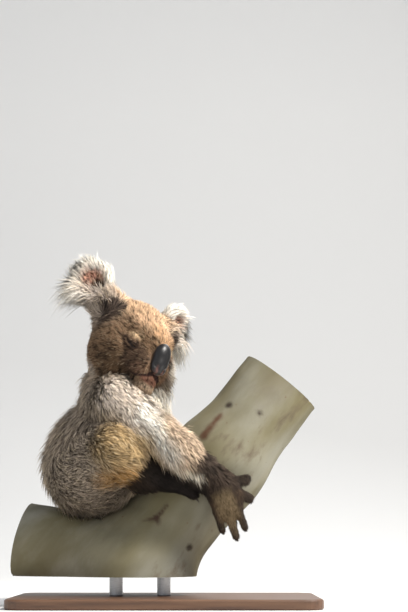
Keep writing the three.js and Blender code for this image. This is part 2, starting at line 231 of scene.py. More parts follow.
def paw(origin, toward, back, side, digits, foot):
    """The paw's shape, its frame and each digit's (start, end, direction, radius)."""
    axes = frame_of(toward, back)
    if side > 0:
        axes = axes * vec(1, -1, 1)[:, None]
    made = {}
    for name, (start, along, length, radius) in digits.items():
        along = unit(np.asarray(along) @ axes)
        start = place(origin, axes, start)
        made[name] = (start, start + along * length, along, radius)
    if foot:
        heel_end, heel_radius, pad, pad_radii = [34, 0, 0], 22, [44, 0, 0], [36, 25, 17]
    else:
        heel_end, heel_radius, pad, pad_radii = [20, 2, 0], 20, [28, 2, 0], [31, 27, 16]
    heel = cone(place(origin, axes, [2, 0, 0]), place(origin, axes, heel_end), heel_radius, 20)
    palm = blend(14, heel, egg(place(origin, axes, pad), pad_radii, axes))
    fingers = [cone(a, b, r, r * 0.86) for a, b, _, r in made.values()]
    return blend(9, palm, *fingers), axes, made


PAWS = {
    ("hand", "right"): paw(RIGHT["wrist"], vec(0.3, 0.22, -0.93), vec(-0.1, -1, 0), -1, HAND_DIGITS, False),
    ("hand", "left"): paw(LEFT["wrist"], vec(0.45, -0.1, -0.85), vec(0.1, 1, 0), 1, HAND_DIGITS, False),
    ("foot", "right"): paw(RIGHT["ankle"], RIGHT["toes"] - RIGHT["ankle"], vec(-0.25, -0.85, 0.45), -1,
                           FOOT_DIGITS, True),
    ("foot", "left"): paw(LEFT["ankle"], LEFT["toes"] - LEFT["ankle"], vec(-0.3, 0.8, 0.55), 1,
                          FOOT_DIGITS, True),
}
LIMBS = {
    "upper_arm": ("shoulder", "elbow", 44, 30),
    "forearm": ("elbow", "wrist", 28, 22),
    "thigh": ("hip", "knee", 60, 44),
    "shin": ("knee", "ankle", 40, 30),
}


def torso_shape():
    return blend(
        46,
        egg(PELVIS, [80, 84, 80], TORSO),
        egg(BELLY, [82, 86, 76], TORSO),
        egg(THORAX, [66, 72, 66], TORSO),
    )


def toward(v):
    v = unit(np.asarray(v, dtype=float))
    return lambda p: np.tile(v, (len(p), 1))


def away_from(point, droop=0.0):
    return lambda p: unit(unit(p - point) + vec(0, 0, -droop))


class Region:
    """A part of the coat: its shape, the lie of its hair, the coat's depth over the skin in mm, and its
    tufts' length and width in mm, lift from the skin in degrees, count for each square centimetre and
    colour. Fine tufts are plain spikes."""

    def __init__(self, name, shape, lie, depth, length, width, lift, density, colour, fine=False):
        self.name, self.shape, self.lie, self.depth = name, shape, lie, depth
        self.length, self.width, self.lift, self.density = length, width, lift, density
        self.colour, self.fine = colour, fine


def srgb(r, g, b):
    c = np.array([r, g, b]) / 255.0
    return np.where(c <= 0.04045, c / 12.92, ((c + 0.055) / 1.055) ** 2.4)


GREY_BROWN = srgb(150, 136, 120)
TAN = srgb(168, 132, 96)
CREAM = srgb(214, 194, 160)
WHITE = srgb(238, 232, 220)
DARK = srgb(60, 50, 42)
FACE = srgb(126, 100, 76)
EAR_GREY = srgb(176, 162, 148)

LIMB_COATS = {  # the coat's depth and its tufts' length, in mm
    "upper_arm": (11, 15),
    "forearm": (8, 12.5),
    "thigh": (13, 21),
    "shin": (8, 13),
}
regions = [
    Region("head", head_shape(), away_from(in_head(104, 0, 0), 0.1), 5, 7, 1.15, 44, 135, FACE, True),
    Region("trunk", torso_shape(), away_from(vec(-50, 0, 420), 0.5), 14, 23, 1.7, 38, 32, GREY_BROWN),
    Region("neck", cone(NAPE, lerp(NAPE, HEAD_AT, 0.6), 64, 52), away_from(in_head(90, 0, 0), 0.4),
           12, 20, 1.6, 38, 34, GREY_BROWN),
]
for side, s in SIDES.items():
    joint = JOINTS[side]
    lie = away_from(in_head(-24, s * 40, 36), 0.3)
    regions.append(Region(f"ear_{side}", ear_shape(s), lie, 6, 11, 1.1, 38, 100, EAR_GREY))
    for limb, (a, b, ra, rb) in LIMBS.items():
        shape = cone(joint[a], joint[b], ra, rb)
        lie = toward(joint[b] - joint[a] + vec(0, 0, -25))
        colour = TAN if limb == "forearm" else GREY_BROWN
        depth, length = LIMB_COATS[limb]
        regions.append(Region(f"{limb}_{side}", shape, lie, depth, length, 1.5, 42, 42, colour))
    for kind in ("hand", "foot"):
        shape, axes, _ = PAWS[kind, side]
        lie = toward(axes[0])
        regions.append(Region(f"{kind}_{side}", shape, lie, 2.2, 5.5, 1.1, 26, 110, DARK, True))
BY_NAME = {r.name: r for r in regions}


def chain(side, limbs, end):
    return blend(16, *[BY_NAME[f"{limb}_{side}"].shape for limb in limbs], BY_NAME[f"{end}_{side}"].shape)


BODY = blend(26, BY_NAME["trunk"].shape, BY_NAME["neck"].shape)
EARS = [BY_NAME[f"ear_{side}"].shape for side in SIDES]
CHAINS = [(chain(side, ("upper_arm", "forearm"), "hand"), chain(side, ("thigh", "shin"), "foot"))
          for side in SIDES]


def distances(p):
    return np.stack([r.shape(p) for r in regions], axis=1)


def region_weights(p, softness=7.0):
    d = distances(p)
    w = np.exp(-(d - d.min(axis=1, keepdims=True)) / softness)
    return w / w.sum(axis=1, keepdims=True)


DEPTHS = np.array([r.depth for r in regions], dtype=float)


# ---- the skin's field, with the face's detail ----
EYE_AT, EYE_RADIUS = (52.5, 34.4, 6.5), 9.5


EAR_BLEND, HEAD_BLEND, ARM_BLEND, LEG_BLEND, ARM_LEG_BLEND = 12, 26, 26, 44, 32  # mm


def body_field(p):
    """The coat's outer surface."""
    body, head = BODY(p), BY_NAME["head"].shape(p)
    for ear in EARS:
        head = smooth_min(head, ear(p), EAR_BLEND)
    whole = smooth_min(body, head, HEAD_BLEND)
    for arm, leg in CHAINS:
        near_arm, near_leg = arm(p), leg(p)
        whole = np.minimum(whole, smooth_min(body, near_arm, ARM_BLEND))
        whole = np.minimum(whole, smooth_min(body, near_leg, LEG_BLEND))
        whole = np.minimum(whole, smooth_min(near_arm, near_leg, ARM_LEG_BLEND))
    return whole


def skin_field(p):
    depth = region_weights(p, 9.0) @ DEPTHS
    return body_field(p) + depth


# ---- meshing ----
PROBE = 0.25  # mm between the two places that a slope is read from


def slope_of(field, v, d):
    return np.stack([(field(v + PROBE * e) - d) / PROBE for e in WORLD], axis=1)


def step_down(v, slope, d):
    return v - slope * column(d / np.maximum((slope**2).sum(axis=1), 0.25))


def settle(field, v, step, turns=3):
    """Points moved down a field's slope onto its surface."""
    start = v.copy()
    for _ in range(turns):
        d = field(v)
        v = step_down(v, slope_of(field, v, d), d)
    moved = v - start
    size = np.linalg.norm(moved, axis=1, keepdims=True)
    return start + moved * np.minimum(1, 0.5 * step / np.maximum(size, 1e-9))


def surface(field, low, high, step):
    """Surface nets: one vertex in each grid cell that the surface crosses, and the triangles between them."""
    low = np.asarray(low, dtype=float)
    n = np.ceil((np.asarray(high) - low) / step).astype(int) + 1
    n += (-n) % 4
    coarse = np.stack(np.meshgrid(*[np.arange(0, k, 4) for k in n], indexing="ij"), axis=-1)
    rough = field(low + step * (coarse.reshape(-1, 3) + 1.5)).reshape(coarse.shape[:3])
    values = np.repeat(np.repeat(np.repeat(rough, 4, 0), 4, 1), 4, 2)
    near = np.argwhere(np.abs(values) < 5.0 * step)
    for part in np.array_split(near, max(1, len(near) // 200000)):
        values[tuple(part.T)] = field(low + step * part)
    inside = values < 0
    corner = [(a, b, c) for a in (0, 1) for b in (0, 1) for c in (0, 1)]
    cells = tuple(slice(0, k - 1) for k in n)
    count = np.zeros(np.array(n) - 1, dtype=np.int8)
    total = np.zeros((*(np.array(n) - 1), 3), dtype=np.float32)
    for a in corner:
        for axis in range(3):
            if a[axis]:
                continue
            b = list(a)
            b[axis] = 1
            at_a = tuple(slice(o, k - 1 + o) for o, k in zip(a, n))
            at_b = tuple(slice(o, k - 1 + o) for o, k in zip(b, n))
            va, vb = values[at_a], values[at_b]
            cross = (va < 0) != (vb < 0)
            t = np.where(cross, va / np.where(cross, va - vb, 1), 0)
            count += cross
            for i in range(3):
                total[..., i] += np.where(cross, a[i] + (t if i == axis else 0), 0)
    used = count > 0
    index = np.full(count.shape, -1)
    index[used] = np.arange(used.sum())
    v = low + step * (np.argwhere(used) + total[used] / count[used][:, None])
    quads = []
    for axis in range(3):
        u, w = (axis + 1) % 3, (axis + 2) % 3
        nxt = np.roll(inside, -1, axis=axis)
        flip = inside != nxt
        for other in range(3):
            edge = [slice(None)] * 3
            edge[other] = 0
            flip[tuple(edge)] = False
            edge[other] = -1
            flip[tuple(edge)] = False
        at = np.argwhere(flip)
        du, dw = np.eye(3, dtype=int)[u], np.eye(3, dtype=int)[w]
        ring = [index[tuple((at - a * du - b * dw).T)] for a, b in ((1, 1), (0, 1), (0, 0), (1, 0))]
        quad = np.stack(ring, axis=1)
        out = ~inside[tuple(at.T)]
        quad[out] = quad[out][:, ::-1]
        quads.append(quad)
    quads = np.concatenate(quads)
    quads = quads[(quads >= 0).all(axis=1)]
    tris = np.concatenate([quads[:, [0, 1, 2]], quads[:, [0, 2, 3]]])
    return settle(field, v, step), tris


def refined(v, tris, chosen):
    """Triangles with every edge between two chosen vertices split in half."""
    edges = np.sort(np.concatenate([tris[:, [0, 1]], tris[:, [1, 2]], tris[:, [2, 0]]]), axis=1)
    split = chosen[edges].all(axis=1)
    key, inverse = np.unique(edges[split], axis=0, return_inverse=True)
    middle = np.full(len(edges), -1)
    middle[split] = len(v) + inverse.ravel()
    m = middle.reshape(3, -1).T
    v = np.concatenate([v, v[key].mean(axis=1)])
    out = [tris[(m < 0).all(axis=1)]]
    for k in range(3):
        a, b, c = tris[:, k], tris[:, (k + 1) % 3], tris[:, (k + 2) % 3]
        ab, bc, ca = m[:, k], m[:, (k + 1) % 3], m[:, (k + 2) % 3]
        one = (ab >= 0) & (bc < 0) & (ca < 0)
        out += [np.stack([a, ab, c], 1)[one], np.stack([ab, b, c], 1)[one]]
        two = (ab >= 0) & (bc >= 0) & (ca < 0)
        out += [np.stack(x, 1)[two] for x in ((a, ab, c), (ab, bc, c), (ab, b, bc))]
    a, b, c = tris.T
    ab, bc, ca = m.T
    full = (m >= 0).all(axis=1)
    out += [np.stack(x, 1)[full] for x in ((a, ab, ca), (ab, b, bc), (ca, bc, c), (ab, bc, ca))]
    return v, np.concatenate(out)


def vertex_normals(v, tris):
    face = np.cross(v[tris[:, 1]] - v[tris[:, 0]], v[tris[:, 2]] - v[tris[:, 0]])
    normal = np.zeros_like(v)
    for i in range(3):
        np.add.at(normal, tris[:, i], face)
    return unit(normal)


# ---- noise ----
def noise(p, size, seed=0):
    """Smooth noise in -1..1 whose lumps are about size mm."""
    q = p / size + seed * 17.31
    base = np.floor(q).astype(np.int64)
    f = q - base
    f = f * f * (3 - 2 * f)
    total = np.zeros(len(p))
    for corner in range(8):
        o = np.array([corner & 1, corner >> 1 & 1, corner >> 2 & 1])
        c = base + o
        h = (c[:, 0] * 73856093) ^ (c[:, 1] * 19349663) ^ (c[:, 2] * 83492791) ^ (seed * 2654435)
        h = (h ^ (h >> 13)) * 1274126177 & 0x7FFFFFFF
        h = (h ^ (h >> 16)) & 0xFFFF
        w = np.prod(np.where(o, f, 1 - f), axis=1)
        total += w * (h / 32767.5 - 1)
    return total


# ---- making Blender meshes ----
def make_mesh(name, v, faces, colour=None, normals=None, uv=None):
    """A mesh object from vertices in mm and triangles; colours and normals are given for each vertex."""
    mesh = bpy.data.meshes.new(name)
    faces = np.ascontiguousarray(faces, dtype=np.int32)
    mesh.vertices.add(len(v))
    mesh.vertices.foreach_set("co", (np.asarray(v) * MM).astype(np.float32).ravel())
    mesh.loops.add(faces.size)
    mesh.loops.foreach_set("vertex_index", faces.ravel())
    mesh.polygons.add(len(faces))
    mesh.polygons.foreach_set("loop_start", np.arange(0, faces.size, 3, dtype=np.int32))
    mesh.polygons.foreach_set("loop_total", np.full(len(faces), 3, dtype=np.int32))
    mesh.update(calc_edges=True)
    mesh.shade_smooth()
    if colour is not None:
        layer = mesh.color_attributes.new("tint", "FLOAT_COLOR", "POINT")
        rgba = np.concatenate([colour, np.ones((len(v), 1))], axis=1).astype(np.float32)
        layer.data.foreach_set("color", rgba.ravel())
    if uv is not None:
        layer = mesh.uv_layers.new(name="OFBake")
        layer.data.foreach_set("uv", uv[faces.ravel()].astype(np.float32).ravel())
    if normals is not None:
        mesh.normals_split_custom_set_from_vertices(unit(normals).astype(np.float32))
    obj = bpy.data.objects.new(name, mesh)
    bpy.context.scene.collection.objects.link(obj)
    return obj


def material(name, colour=(0.5, 0.5, 0.5), roughness=0.6, metallic=0.0, specular=0.5):
    m = bpy.data.materials.new(name)
    m.use_nodes = True
    shader = m.node_tree.nodes["Principled BSDF"]
    shader.inputs["Base Color"].default_value = (*colour, 1)
    shader.inputs["Roughness"].default_value = roughness
    shader.inputs["Metallic"].default_value = metallic
    shader.inputs["Specular IOR Level"].default_value = specular
    return m, m.node_tree, shader


def finish_piece(obj, mat, slot, *nodes):
    obj.data.materials.clear()
    obj.data.materials.append(mat)
    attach(obj, "root")
    if nodes:
        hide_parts(*nodes)
    return obj


# ---- the skin ----
def eye_centre(s):
    return in_head(EYE_AT[0], s * EYE_AT[1], EYE_AT[2])


def on_skin(points):
    return settle(skin_field, np.array(points, dtype=float), 60, 8)


def capsules(points, radii):
    radii = np.broadcast_to(radii, len(points))
    return [cone(a, b, ra, rb) for a, b, ra, rb in zip(points, points[1:], radii, radii[1:])]


def union(shapes):
    return lambda p: np.min([shape(p) for shape in shapes], axis=0)


def lid_points(s):
    """The closed slit of an eye on its lids, from the outer corner to the inner one."""
    out = unit(vec(0.7, 0.68 * s, -0.14) @ HEAD)
    inner = unit(np.cross(np.cross(out, vec(0.7, -0.7 * s, -0.42) @ HEAD), out))
    angles = np.radians(np.linspace(-66, 66, 8))
    ring = unit(np.cos(angles)[:, None] * out + np.sin(angles)[:, None] * inner)
    sag = -0.12 * np.cos(angles * 1.6)[:, None] * HEAD[2]
    return eye_centre(s) + (EYE_RADIUS + 1.3) * unit(ring + sag)


MOUTH = {s: on_skin([in_head(88, 0, -25), in_head(85, s * 9, -28), in_head(77, s * 18, -32),
                     in_head(69, s * 24, -36), in_head(64, s * 28, -37)]) for s in SIDES.values()}
LIDS = {s: lid_points(s) for s in SIDES.values()}
SLIT_RADII = [0.6, 1.2, 1.6, 1.8, 1.8, 1.6, 1.2, 0.6]
LIP_RADII = [1.6, 1.7, 1.6, 1.4, 0.8]
SLITS = union([c for s in SIDES.values() for c in capsules(LIDS[s], SLIT_RADII)])
LIPS = union([c for s in SIDES.values() for c in capsules(MOUTH[s], LIP_RADII)])


def face_field(p):
    """The skin with its closed lids and its mouth."""
    d = skin_field(p)
    for s in SIDES.values():
        d = smooth_min(d, np.linalg.norm(p - eye_centre(s), axis=1) - EYE_RADIUS - 1.2, 7)
    d = carved(d, SLITS(p), 1.6)
    return carved(d, LIPS(p), 2.5)


def nearest(p, spots):
    return np.min([np.linalg.norm(p - q, axis=1) for q in spots], axis=0)


SKIN_STEP = 3.3
FLESH_LOW, FLESH_HIGH = vec(-225, -160, 95), vec(150, 190, 555)
REFINED_REACHES = ((18, 10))  # mm around the lids and the mouth, halved once for each
FACE_REACH = 22
face_spots = np.concatenate([*LIDS.values(), *MOUTH.values()])
skin_v, skin_t = surface(skin_field, FLESH_LOW, FLESH_HIGH, SKIN_STEP)
for reach in REFINED_REACHES:
    skin_v, skin_t = refined(skin_v, skin_t, nearest(skin_v, face_spots[::2]) < reach)
near = nearest(skin_v, face_spots) < FACE_REACH
skin_v[near] = settle(face_field, skin_v[near], 24, 8)
skin_n = vertex_normals(skin_v, skin_t)
print("skin", len(skin_v), len(skin_t))


# ---- markings, with painted shade and painted light among them ----
F = TORSO[0]
DARKEST, LIGHTEST = 0.004, 0.95
RUFF = head_egg(32, 57, -30, [44, 26, 40])  # the left cheek's long pale fur, whose white is partly its own and partly painted light
HEAD_MARKS = [  # shape, colour, strength, softness in mm
    (head_egg(-6, 0, 78, [78, 60, 42]), srgb(194, 160, 127), 0.9, 26),
    (head_egg(40, 0, 50, [42, 32, 28]), srgb(196, 160, 127), 0.9, 22),
    (cone(in_head(60, 0, 34), in_head(84, 0, 26), 15, 10), srgb(190, 150, 112), 0.8, 14),
    (head_egg(-60, 0, 0, [40, 60, 60]), GREY_BROWN, 0.8, 30),
    (head_egg(66, 0, -68, [32, 28, 14]), srgb(166, 136, 110), 0.9, 10),
    (head_egg(80, 0, -56, [26, 24, 14]), srgb(172, 148, 124), 0.92, 10),
    (head_egg(90, 0, -36, [16, 20, 7]), srgb(150, 104, 86), 0.85, 6),
    (RUFF, WHITE * 0.92, 0.86, 24),
    # the right cheek's pale fur, greyed as painted shade
    (head_egg(-8, -56, -60, [28, 20, 20]), WHITE * 0.6, 0.4, 18),
]
for s in SIDES.values():
    HEAD_MARKS += [
        # painted shade: the lower cheek, the muzzle's side and the ring round the eye are darkened as if
        # shaded by the brow and the cheek's overhang
        (cone(in_head(36, s * 52, -28), in_head(70, s * 30, -26), 26, 16), srgb(88, 69, 51), 0.8, 22),
        (head_egg(64, s * 27, -10, [30, 16, 22]), srgb(84, 66, 53), 0.85, 14),
        (egg(eye_centre(s), [15, 13, 10], HEAD), srgb(98, 76, 60), 0.7, 10),
        (head_egg(61, s * 33, 20, [13, 11, 6]), srgb(214, 182, 144), 0.9, 7),
        (head_egg(66, s * 27, -36, [7, 6, 4]), srgb(40, 29, 25), 0.95, 5),
        (head_egg(80, s * 18, -24, [12, 12, 9]), srgb(120, 92, 74), 0.7, 8),
        (ear_egg(s, -22, 0, 4, [14, 26, 26]), GREY_BROWN * 0.9, 0.8, 10),
        (ear_egg(s, 8, 0, 7, [15, 20, 16]), srgb(184, 134, 114), 0.95, 8),
        # painted shade in the deepest part of the ear's hollow
        (ear_egg(s, 6, -s * 9, -1, [15, 13, 9]), srgb(62, 46, 40), 0.95, 7),
        (ear_egg(s, 6, -s * 4, -20, [15, 20, 8]), srgb(196, 180, 168), 0.8, 8),
        # painted shade on the head under the ear's front edge
        (head_egg(8, s * 66, 44, [24, 18, 16]), srgb(66, 54, 47), 0.95, 12),
    ]
BODY_MARKS = [
    (egg(THORAX + F * 62 + vec(0, 0, 14), [42, 62, 52], TORSO), WHITE, 1.0, 30),
    (egg(BELLY + F * 66, [48, 66, 70], TORSO), CREAM, 0.85, 30),
    (egg(vec(-60, -122, 256), [60, 42, 64]), srgb(172, 145, 103), 0.9, 52),
    (egg(vec(-70, -104, 178), [60, 44, 42]), srgb(168, 128, 78), 0.95, 28),
    (cone(vec(-82, -112, 336), vec(-36, -118, 300), 34, 32), srgb(204, 190, 176), 0.95, 24),
    (cone(vec(-36, -118, 312), vec(0, -130, 232), 19, 24), srgb(250, 244, 232), 0.98, 22),
    (egg(vec(-16, -128, 242), [10, 22, 12]), srgb(98, 82, 68), 0.85, 9),
    (egg(vec(-44, -128, 250), [8, 20, 9]), srgb(120, 98, 72), 0.6, 9),
]
for side in SIDES:
    elbow, wrist, ankle = (JOINTS[side][name] for name in ("elbow", "wrist", "ankle"))
    _, axes, digits = PAWS["hand", side]
    shin_end = lerp(ankle, JOINTS[side]["knee"], 0.15)
    back_of_hand = cone(place(wrist, axes, [18, 0, 18]), place(wrist, axes, [66, 0, 12]), 16, 21)
    BODY_MARKS += [
        (cone(elbow + vec(-8, 0, 30), lerp(elbow, wrist, 0.38), 26, 34), srgb(196, 172, 148), 0.95, 22),
        (cone(lerp(elbow, wrist, 0.58), wrist, 30, 32), srgb(54, 45, 39), 0.97, 16),
        # the hind foot's near-black: partly its dark fur, partly painted shade of the arm's shadow
        (cone(shin_end, JOINTS[side]["toes"], 33, 30), srgb(30, 25, 22), 0.98, 12),
        (back_of_hand, srgb(128, 110, 84), 0.9, 14),
    ]
    BODY_MARKS += [(cone(lerp(a, b, 0.6), b, r, r), srgb(58, 50, 44), 0.75, 12)
                   for a, b, _, r in digits.values()]
# a thin white streak above the near hind foot: partly white fur, partly a painted highlight along its lit
# edge
BODY_MARKS.append((cone(vec(-24, -104, 222), vec(50, -104, 203), 13, 7), srgb(242, 232, 212), 0.95, 9))
FALL = unit(vec(0.4, -0.1, -0.9))  # the way the dark streaks of the shoulder run
HEAD_PARTS = [i for i, r in enumerate(regions) if r.name == "head" or r.name.startswith("ear")]


def by_joint(p, joint, offset):
    """The distance to the nearer of the two sides' joints, offset outward on each."""
    return nearest(p, [JOINTS[side][joint] + offset * vec(1, s, 1) for side, s in SIDES.items()])


def tinted(p):
    """The coat's colour at places on the skin."""
    colour = region_weights(p) @ np.array([r.colour for r in regions])
    on_head = region_weights(p, 2.5)[:, HEAD_PARTS].sum(axis=1)
    wobble = 5 * noise(p, 22, 3) + 3 * noise(p, 8, 4)
    for marks, share in ((HEAD_MARKS, on_head), (BODY_MARKS, 1 - on_head)):
        for shape, tone, strength, soft in marks:
            d = shape(p) + wobble * min(1, soft / 22)
            amount = clamp(0.5 - d / soft)
            colour = lerp(colour, tone, column(strength * share * amount * amount * (3 - 2 * amount)))
    rump = clamp(1 - np.linalg.norm(p - (PELVIS - F * 60), axis=1) / 110) * clamp(noise(p, 26, 8))
    colour = lerp(colour, CREAM, column(rump))
    mottle = 1 + 0.18 * noise(p, 11, 5) + 0.28 * noise(p, 3.2, 6) + 0.1 * noise(p, 30, 7)
    pale = clamp(colour.mean(axis=1) * 2.2 - 0.9)
    mottle += (1 - mottle) * 0.6 * pale
    shoulder = clamp(1.4 - by_joint(p, "shoulder", vec(0, 30, 0)) / 75)
    streak = clamp(1.5 * noise(p - 0.85 * column(p @ FALL) * FALL, 5, 9) - 0.25)
    mottle -= (0.2 + shoulder) * streak * (1 - on_head) * (1 - 0.8 * pale)
    elbow = clamp(1.4 - by_joint(p, "elbow", vec(16, 0, -14)) / 50)
    stipple = clamp(1.7 * noise(p, 2.3, 12) + 0.05)
    mottle -= (0.7 * elbow + 0.8 * on_head) * stipple
    return np.clip(colour * column(np.maximum(mottle, 0.15)), DARKEST, LIGHTEST)


# ---- the perch: a sawn fork of a smooth-barked gum ----
PERCH_BOTTOM = 46
STEM, CROTCH, LIMB_TOP = vec(-50, 24, 60), vec(80, 24, 222), vec(250, 28, 436)
STUB = vec(-270, 52, 112)
RISE, RUN = unit(LIMB_TOP - CROTCH), unit(STUB - STEM)
RISING_END = CROTCH + RISE * (186 - CROTCH[0]) / RISE[0]
LEVEL_END = STEM + RUN * (-232 - STEM[0]) / RUN[0]
FOOT_AT = vec(-44, 24, PERCH_BOTTOM)
fork = blend(
    44,
    cone(STEM, CROTCH, 76, 70),
    cone(CROTCH, LIMB_TOP, 70, 68),
    cone(STEM, STUB, 70, 58),
    cone(vec(-44, 24, 10), STEM, 86, 78),
)

# Each sawn end: a point of its plane, the way it faces, and the place its rings go round.
SAWN = {
    "rising": (RISING_END, RISE, CROTCH),
    "level": (LEVEL_END, RUN, STEM),
    "foot": (FOOT_AT, -UP, FOOT_AT),
}


def bark_field(p):
    return fork(p) + 1.6 * noise(p, 70, 21) + 0.7 * noise(p, 24, 22)


def perch_field(p):
    d = bark_field(p)
    for point, out, _ in SAWN.values():
        d = np.maximum(d, (p - point) @ out)
    return d


def sharpened(v, reach):
    """Points near a sawn edge, moved onto the edge itself."""
    for point, out, _ in SAWN.values():
        edge = (np.abs((v - point) @ out) < reach) & (np.abs(bark_field(v)) < reach)
        q = v[edge]
        for _ in range(4):
            q = q - ((q - point) @ out)[:, None] * out
            d = bark_field(q)
            slope = slope_of(bark_field, q, d)
            slope -= (slope @ out)[:, None] * out
            q = step_down(q, slope, d)
        v[edge] = q
    return v


PERCH_STEP = 4
perch_v, perch_t = surface(perch_field, vec(-275, -80, 30), vec(275, 130, 440), PERCH_STEP)
perch_v = sharpened(perch_v, 0.75 * PERCH_STEP)


# ---- tufts ----
def scattered(density):
    """Random places on the skin: triangle numbers and weights of their corners."""
    corners = skin_v[skin_t]
    area = np.linalg.norm(np.cross(corners[:, 1] - corners[:, 0], corners[:, 2] - corners[:, 0]), axis=1) / 2
    expected = area * density(corners.mean(axis=1))
    total = np.cumsum(expected)
    chosen = np.searchsorted(total, rng.random(int(total[-1])) * total[-1])
    chosen = np.sort(np.minimum(chosen, len(skin_t) - 1))
    w = -np.log(1 - rng.random((len(chosen), 3)))
    return chosen, w / w.sum(axis=1, keepdims=True)


def mixed(values, chosen, weights):
    return (values[skin_t[chosen]] * weights[..., None]).sum(axis=1)


def lie_of_coat(p, n, w):
    flow = np.zeros_like(p)
    for i, region in enumerate(regions):
        near = w[:, i] > 0.02
        if near.any():
            flow[near] += region.lie(p[near]) * w[near, i : i + 1]
    flow += 0.28 * np.stack([noise(p, 17, 31 + i) for i in range(3)], axis=1)
    flow = flow - (flow * n).sum(axis=1, keepdims=True) * n
    return unit(flow + 1e-6)


ROOT_DEPTH = 0.8  # mm that a tuft goes into the skin
PATCH = 0.003  # the size of a tuft's own patch on the map, a part of the whole
PATCH_CORNERS = [(0, 0), (1, 0), (0.5, 1 / 3), (0.1, 0.6), (0.9, 0.6), (0.5, 2 / 3), (0.5, 1)]
SPIKE_FACES = [(0, 2, 3), (2, 1, 3), (1, 0, 3)]
CURVED_FACES = [(0, 2, 5), (0, 5, 3), (2, 1, 4), (2, 4, 5), (1, 0, 3), (1, 3, 4), (3, 5, 6), (5, 4, 6),
                (4, 3, 6)]


def tuft_mesh(root, n, lie, length, width, lift, droop, colour, uv, fine):
    """Curved three-sided tufts, or plain spikes where the coat is fine: vertices, triangles, colours,
    normals and places on the map."""
    side = np.cross(n, lie)
    high, low, L, W = (column(a) for a in (lift, lift * 0.35, length, width))
    start = root - n * ROOT_DEPTH
    mid = start + unit(np.cos(high) * lie + np.sin(high) * n) * L * 0.55
    tip = mid + unit(np.cos(low) * lie + np.sin(low) * n - UP * column(droop)) * L * 0.5
    base = [start + side * W * 0.5, start - side * W * 0.5, start + n * W * 0.35]
    # Each tuft's colour is darkened at its root as painted shade and lightened at its tip as painted
    # highlight.
    if fine:
        rings, faces, corners = base + [tip], SPIKE_FACES, [0, 1, 2, 6]
        shade = (0.7, 0.7, 0.78, 1.14)
        lean = (side, -side, n, n)
    else:
        middle = [mid + side * W * 0.46, mid - side * W * 0.46, mid + n * W * 0.32]
        rings, faces, corners = base + middle + [tip], CURVED_FACES, range(7)
        shade = (0.62, 0.62, 0.66, 0.95, 0.95, 1.02, 1.2)
        lean = (side, -side, n, side, -side, n, n)
    v = np.stack(rings, axis=1).reshape(-1, 3)
    tris = (np.array(faces)[None] + np.arange(len(root))[:, None, None] * len(rings)).reshape(-1, 3)
    tint = (colour[:, None] * np.array(shade)[None, :, None]).reshape(-1, 3)
    normal = np.stack([n + 0.4 * q for q in lean], axis=1).reshape(-1, 3)
    patch = (np.array(PATCH_CORNERS)[corners] - 0.5) * PATCH
    place_uv = (uv[:, None] + patch[None]).reshape(-1, 2)
    return v, tris, np.clip(tint, 0.003, 0.97), normal, clamp(place_uv)


# ---- materials ----
def object_place(tree):
    return tree.nodes.new("ShaderNodeTexCoord").outputs["Object"]


def mapped(tree, vector, **values):
    """A vector moved, turned or scaled by the named sockets of a Mapping node."""
    node = tree.nodes.new("ShaderNodeMapping")
    node.vector_type = values.pop("kind", "POINT")
    for name, value in values.items():
        node.inputs[name].default_value = value
    tree.links.new(vector, node.inputs["Vector"])
    return node.outputs["Vector"]


def bump(tree, shader, height, strength, distance):
    node = tree.nodes.new("ShaderNodeBump")
    node.inputs["Strength"].default_value = strength
    node.inputs["Distance"].default_value = distance
    tree.links.new(height, node.inputs["Height"])
    tree.links.new(node.outputs["Normal"], shader.inputs["Normal"])


def painted(tree):
    """The colour that the mesh carries at each vertex."""
    node = tree.nodes.new("ShaderNodeVertexColor")
    node.layer_name = "tint"
    return node.outputs["Color"]


def ramp(tree, source, stops):
    node = tree.nodes.new("ShaderNodeValToRGB")
    while len(node.color_ramp.elements) < len(stops):
        node.color_ramp.elements.new(0.5)
    for element, (at, colour) in zip(node.color_ramp.elements, stops):
        element.position = at
        element.color = (*colour, 1)
    tree.links.new(source, node.inputs["Fac"])
    return node.outputs["Color"]


def noise_node(tree, vector, scale, detail=4, rough=0.55):
    node = tree.nodes.new("ShaderNodeTexNoise")
    node.inputs["Scale"].default_value = scale
    node.inputs["Detail"].default_value = detail
    node.inputs["Roughness"].default_value = rough
    tree.links.new(vector, node.inputs["Vector"])
    return node.outputs["Fac"]


def mix(tree, kind, amount, a, b):
    node = tree.nodes.new("ShaderNodeMix")
    node.data_type = "RGBA"
    node.blend_type = kind
    for socket, value in ((node.inputs[0], amount), (node.inputs[6], a), (node.inputs[7], b)):
        if isinstance(value, bpy.types.NodeSocket):
            tree.links.new(value, socket)
        else:
            socket.default_value = value if isinstance(value, (int, float)) else (*value, 1)
    return node.outputs[2]


def mask(tree, source, low, high, most=1.0):
    """Black below low and grey at the strength most above high."""
    return ramp(tree, source, [(low, (0, 0, 0)), (high, (most,) * 3)])


def tint_material(name, roughness, specular, fine_bump=0.0):
    m, tree, shader = material(name, roughness=roughness, specular=specular)
    tree.links.new(painted(tree), shader.inputs["Base Color"])
    if fine_bump:
        grain = tree.nodes.new("ShaderNodeTexNoise")
        grain.inputs["Scale"].default_value = 700
        tree.links.new(object_place(tree), grain.inputs["Vector"])
        bump(tree, shader, grain.outputs["Fac"], fine_bump, 0.0008)
    return m


def speckled_material(name, roughness, scale, detail, dark, light):
    """A dark smooth material with a fine grain between two colours."""
    m, tree, shader = material(name, roughness=roughness)
    grain = noise_node(tree, object_place(tree), scale, detail)
    tree.links.new(ramp(tree, grain, [dark, light]), shader.inputs["Base Color"])
    return m


coat_material = tint_material("coat", 0.8, 0.15)
skin_material = tint_material("skin", 0.8, 0.2, 0.6)

